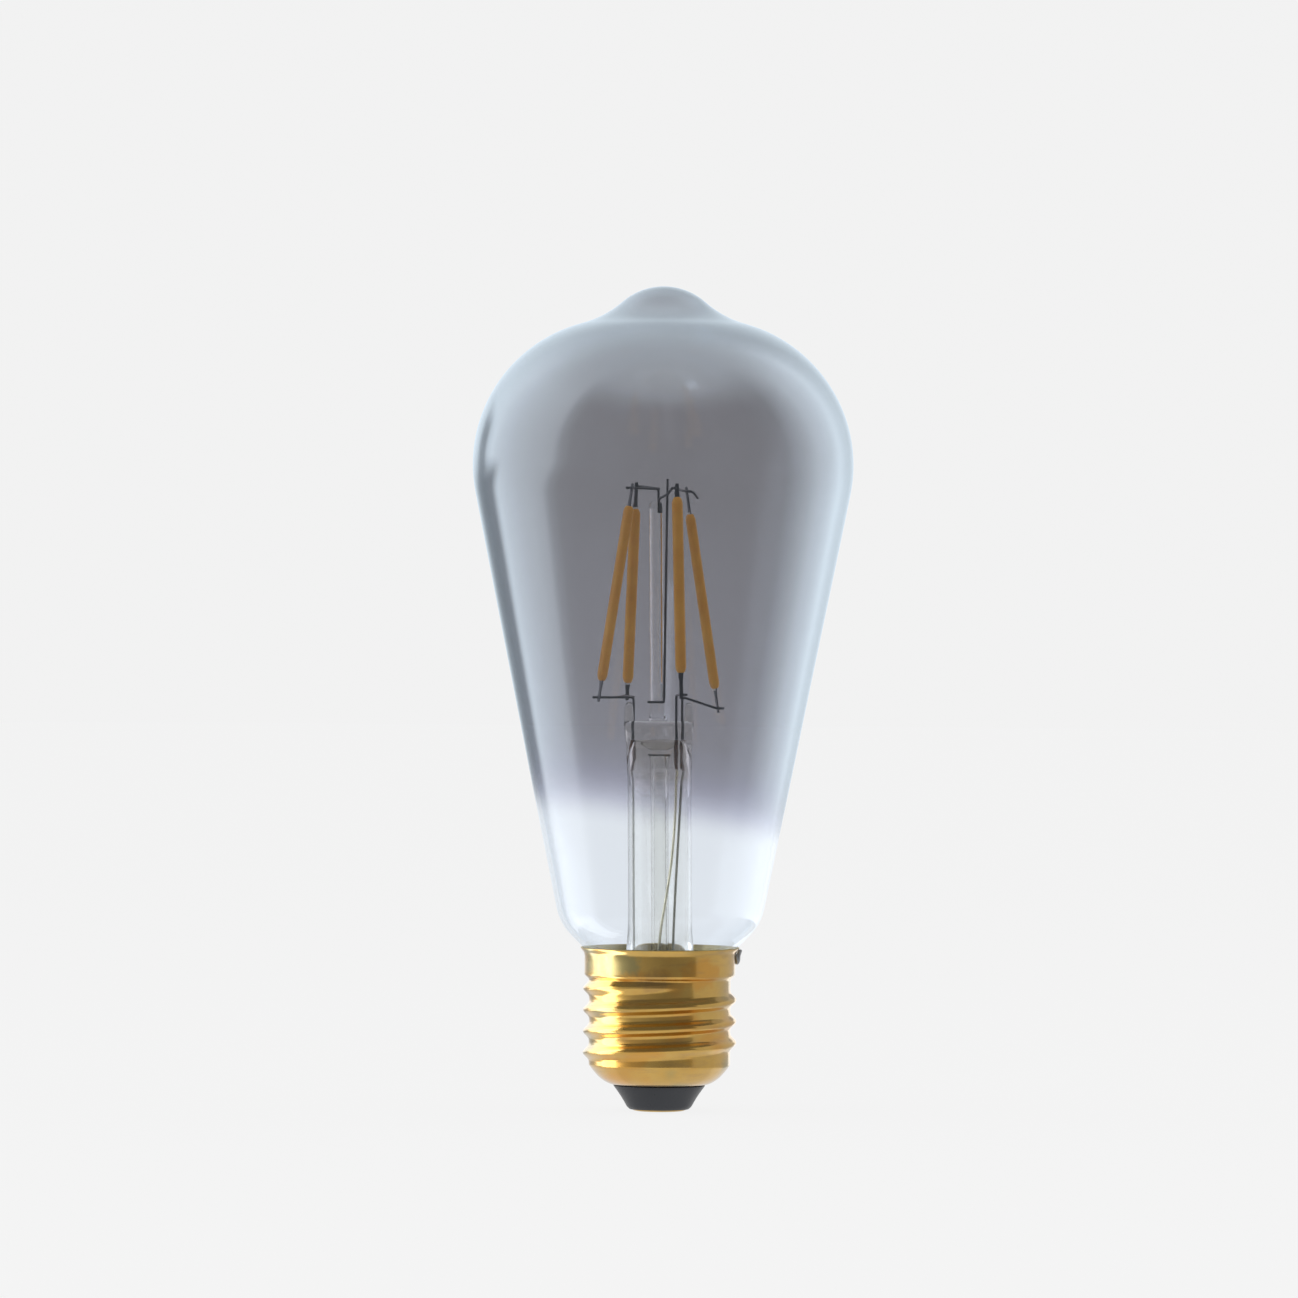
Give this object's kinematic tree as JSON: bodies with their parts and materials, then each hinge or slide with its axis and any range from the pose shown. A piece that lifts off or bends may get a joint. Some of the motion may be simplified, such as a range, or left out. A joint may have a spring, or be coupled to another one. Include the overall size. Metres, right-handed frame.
{
  "type": "filament light bulb",
  "caption": "Screw-cap LED filament bulb with a long smoke-tinted glass envelope tapering to a brass Edison cap.",
  "frame": {"origin": "centre of the flat outer face of the centre contact, at the bottom of the screw cap", "axes": "+Z along the bulb's axis from the contact to the glass tip; -Y faces the viewer, +X is to the viewer's right, towards the solder bead on the skirt"},
  "size_m": [0.0646, 0.0646, 0.14],
  "materials": {
    "smoke_glass": "thin clear glass with a smoke-grey metallised coat that fades out towards the cap",
    "clear_glass": "clear lead-free glass, fire polished",
    "brass": "rolled brass with light handling marks",
    "black_glass": "black vitrite insulator, slightly glossy",
    "solder": "dull tin solder",
    "cement": "matt capping cement",
    "nickel": "drawn nickel-plated wire",
    "dumet": "oxidised copper-clad seal wire",
    "tinned_copper": "tinned copper wire, slightly tarnished",
    "phosphor": "amber phosphor silicone coat, satin",
    "strip": "ceramic carrier strip with chips",
    "tab_steel": "plated steel tab",
    "board": "glass-epoxy circuit board",
    "capacitor": "sleeved capacitor can",
    "ferrite": "ferrite drum core",
    "chip_black": "moulded package",
    "module": "small circuit board with a shield can",
    "resistor": "coated fusible resistor",
    "insulated_wire": "plastic-insulated wire"
  },
  "bodies": {
    "root": {"arbor_rod": "clear_glass", "bridge_rectifier": "chip_black", "bulk_capacitor": "capacitor", "cap_cement": "cement", "centre_contact": "brass", "centre_support_wire": "nickel", "chip_strip_back_left": "strip", "chip_strip_back_right": "strip", "chip_strip_front_left": "strip", "chip_strip_front_right": "strip", "driver_board": "board", "driver_chip": "chip_black", "exhaust_tube": "clear_glass", "fuse_resistor": "resistor", "glass_envelope": "smoke_glass", "glass_stem": "clear_glass", "inductor": "ferrite", "insulator": "black_glass", "lead_arm_common": "nickel", "lead_arm_front": "nickel", "lead_arm_right": "nickel", "lead_tail_common": "tinned_copper", "lead_tail_front": "tinned_copper", "lead_tail_right": "tinned_copper", "live_wire": "insulated_wire", "lower_cross_wire": "nickel", "lower_tab_back_left": "tab_steel", "lower_tab_back_right": "tab_steel", "lower_tab_front_left": "tab_steel", "lower_tab_front_right": "tab_steel", "neutral_wire": "tinned_copper", "phosphor_coat_back_left": "phosphor", "phosphor_coat_back_right": "phosphor", "phosphor_coat_front_left": "phosphor", "phosphor_coat_front_right": "phosphor", "radio_module": "module", "screw_shell": "brass", "seal_wire_common": "dumet", "seal_wire_front": "dumet", "seal_wire_right": "dumet", "side_solder": "solder", "top_wire_back_left": "nickel", "top_wire_front_left": "nickel", "top_wire_right": "nickel", "upper_tab_back_left": "tab_steel", "upper_tab_back_right": "tab_steel", "upper_tab_front_left": "tab_steel", "upper_tab_front_right": "tab_steel"}
  },
  "joints": []
}
